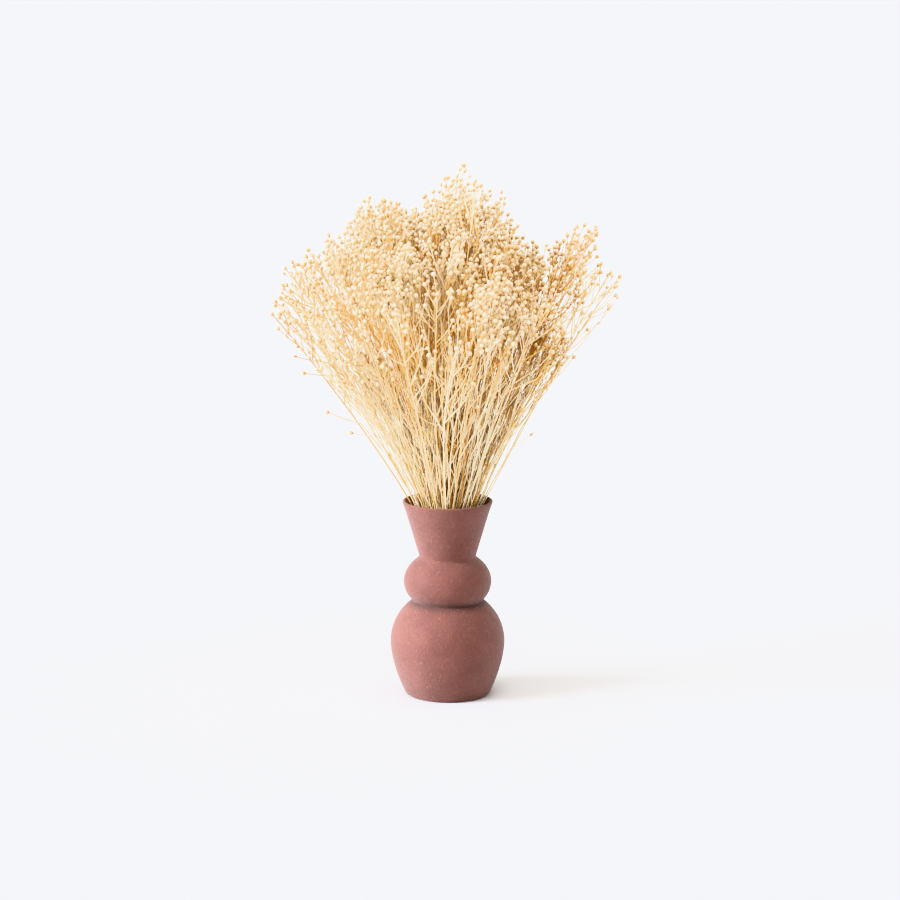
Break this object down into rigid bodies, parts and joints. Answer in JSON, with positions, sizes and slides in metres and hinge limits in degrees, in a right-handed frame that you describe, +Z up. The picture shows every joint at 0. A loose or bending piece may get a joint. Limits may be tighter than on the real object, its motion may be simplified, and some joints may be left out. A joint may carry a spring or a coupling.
{
  "type": "vase of dried broom blooms",
  "caption": "Hollow stoneware vase with a wide bulb, a ball and a flared neck, holding a spreading bunch of thin dried stems with round pointed seed capsules.",
  "frame": {"origin": "middle of the vase's flat underside, on the surface that it stands on", "axes": "+Z up along the vase's axis, -Y towards the viewer of the picture, +X to the viewer's right"},
  "size_m": [0.3441, 0.3228, 0.535],
  "materials": {
    "stoneware": "matte unglazed dusty rose",
    "dried_straw": "dry satin straw"
  },
  "bodies": {
    "root": {"vase": "stoneware", "spray_01": "dried_straw", "spray_02": "dried_straw", "spray_03": "dried_straw", "spray_04": "dried_straw", "spray_05": "dried_straw", "spray_06": "dried_straw", "spray_07": "dried_straw", "spray_08": "dried_straw", "spray_09": "dried_straw", "spray_10": "dried_straw", "spray_11": "dried_straw", "spray_12": "dried_straw", "spray_13": "dried_straw", "spray_14": "dried_straw", "spray_15": "dried_straw", "spray_16": "dried_straw", "spray_17": "dried_straw", "spray_18": "dried_straw", "spray_19": "dried_straw", "spray_20": "dried_straw", "spray_21": "dried_straw", "spray_22": "dried_straw", "spray_23": "dried_straw", "spray_24": "dried_straw", "spray_25": "dried_straw", "spray_26": "dried_straw", "spray_27": "dried_straw", "spray_28": "dried_straw", "spray_29": "dried_straw", "spray_30": "dried_straw", "spray_31": "dried_straw", "spray_32": "dried_straw", "spray_33": "dried_straw", "spray_34": "dried_straw", "spray_35": "dried_straw", "spray_36": "dried_straw", "spray_37": "dried_straw", "spray_38": "dried_straw", "spray_39": "dried_straw", "spray_40": "dried_straw", "spray_41": "dried_straw", "spray_42": "dried_straw", "spray_43": "dried_straw", "spray_44": "dried_straw"}
  },
  "joints": []
}
